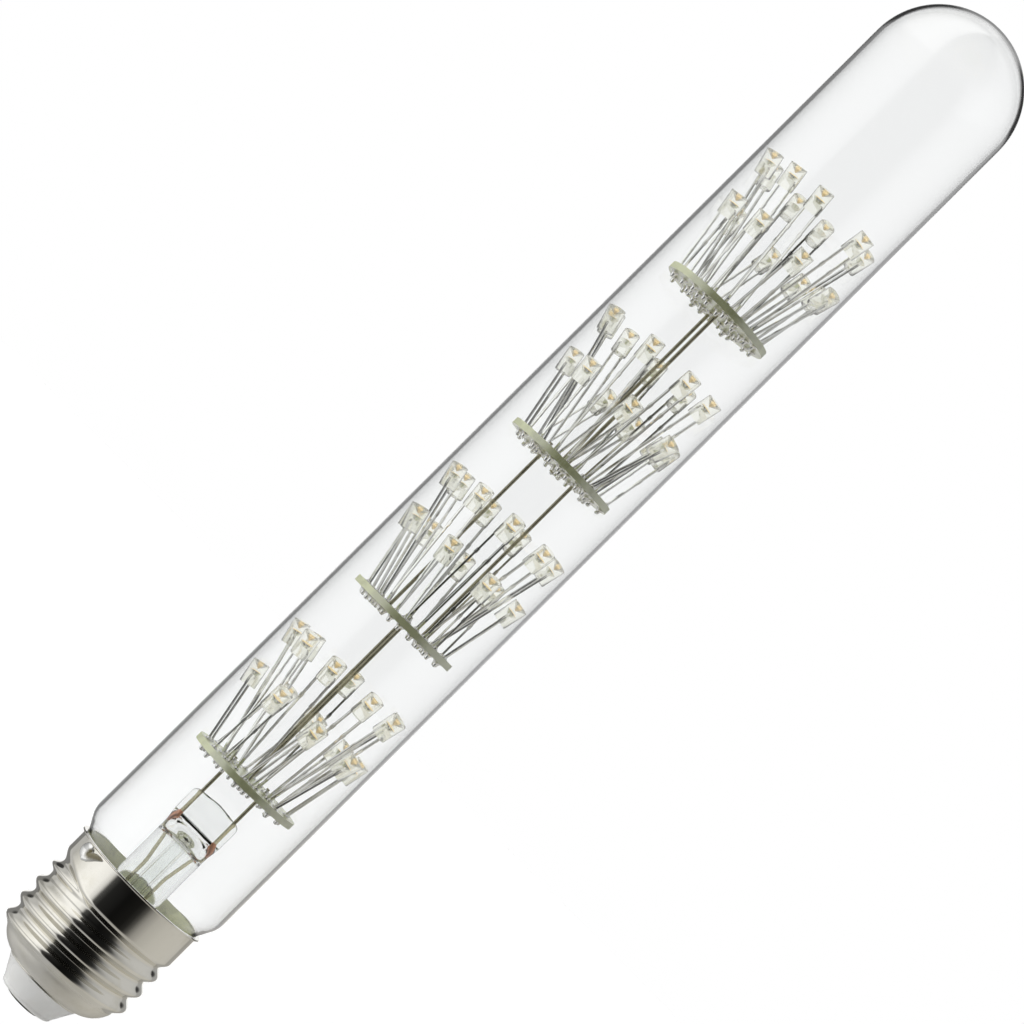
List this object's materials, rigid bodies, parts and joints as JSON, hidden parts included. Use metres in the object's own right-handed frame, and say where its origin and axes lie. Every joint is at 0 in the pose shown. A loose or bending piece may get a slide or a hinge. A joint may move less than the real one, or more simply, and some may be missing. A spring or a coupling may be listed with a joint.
{
  "type": "tubular light bulb",
  "caption": "Clear tubular screw-base light bulb with stacked round circuit boards, each with a spray of clear LEDs on long legs, inside a round-ended glass tube.",
  "frame": {"origin": "middle of the flat centre contact at the bottom of the screw cap", "axes": "+Z along the bulb's axis from the contact to the dome; -Y is the side seen in the picture"},
  "size_m": [0.029, 0.029, 0.2305],
  "materials": {
    "nickel_shell": "polished nickel plate on pressed brass, satin on the bowl",
    "white_insulator": "glossy white moulded plastic",
    "contact_metal": "dull nickel-plated brass",
    "solder": "dull tin solder",
    "copper_wire": "bare copper",
    "cement": "matt grey-green capping cement",
    "clear_glass": "clear blown glass",
    "stem_glass": "clear lead-free stem glass",
    "support_wire": "bright olive-brown nickel alloy wire",
    "driver_board": "green circuit board",
    "capacitor_can": "sleeved metal can",
    "black_package": "black moulded package",
    "resistor_body": "pale lacquered ceramic",
    "circuit_board": "pale yellow-green glass-fibre board",
    "led_lens": "clear cast resin",
    "led_lead": "tinned steel",
    "phosphor": "orange-yellow phosphor"
  },
  "bodies": {
    "root": {"board_1": "circuit_board", "board_2": "circuit_board", "board_3": "circuit_board", "board_4": "circuit_board", "bridge_rectifier": "black_package", "cement_ring": "cement", "centre_contact": "contact_metal", "centre_wire": "copper_wire", "driver_board": "driver_board", "dropper_resistor": "resistor_body", "exhaust_tube": "stem_glass", "glass_tube": "clear_glass", "insulator": "white_insulator", "lead_in_left": "support_wire", "lead_in_right": "support_wire", "led_cups_1": "phosphor", "led_cups_2": "phosphor", "led_cups_3": "phosphor", "led_cups_4": "phosphor", "link_wire_1a": "support_wire", "link_wire_1b": "support_wire", "link_wire_2a": "support_wire", "link_wire_2b": "support_wire", "link_wire_3a": "support_wire", "link_wire_3b": "support_wire", "screw_shell": "nickel_shell", "short_led_heads_1": "led_lens", "short_led_heads_2": "led_lens", "short_led_heads_3": "led_lens", "short_led_heads_4": "led_lens", "short_led_legs_1": "led_lead", "short_led_legs_2": "led_lead", "short_led_legs_3": "led_lead", "short_led_legs_4": "led_lead", "side_solder": "solder", "side_wire": "copper_wire", "smoothing_capacitor": "capacitor_can", "stem_glass": "stem_glass", "tall_led_heads_1": "led_lens", "tall_led_heads_2": "led_lens", "tall_led_heads_3": "led_lens", "tall_led_heads_4": "led_lens", "tall_led_legs_1": "led_lead", "tall_led_legs_2": "led_lead", "tall_led_legs_3": "led_lead", "tall_led_legs_4": "led_lead"}
  },
  "joints": []
}
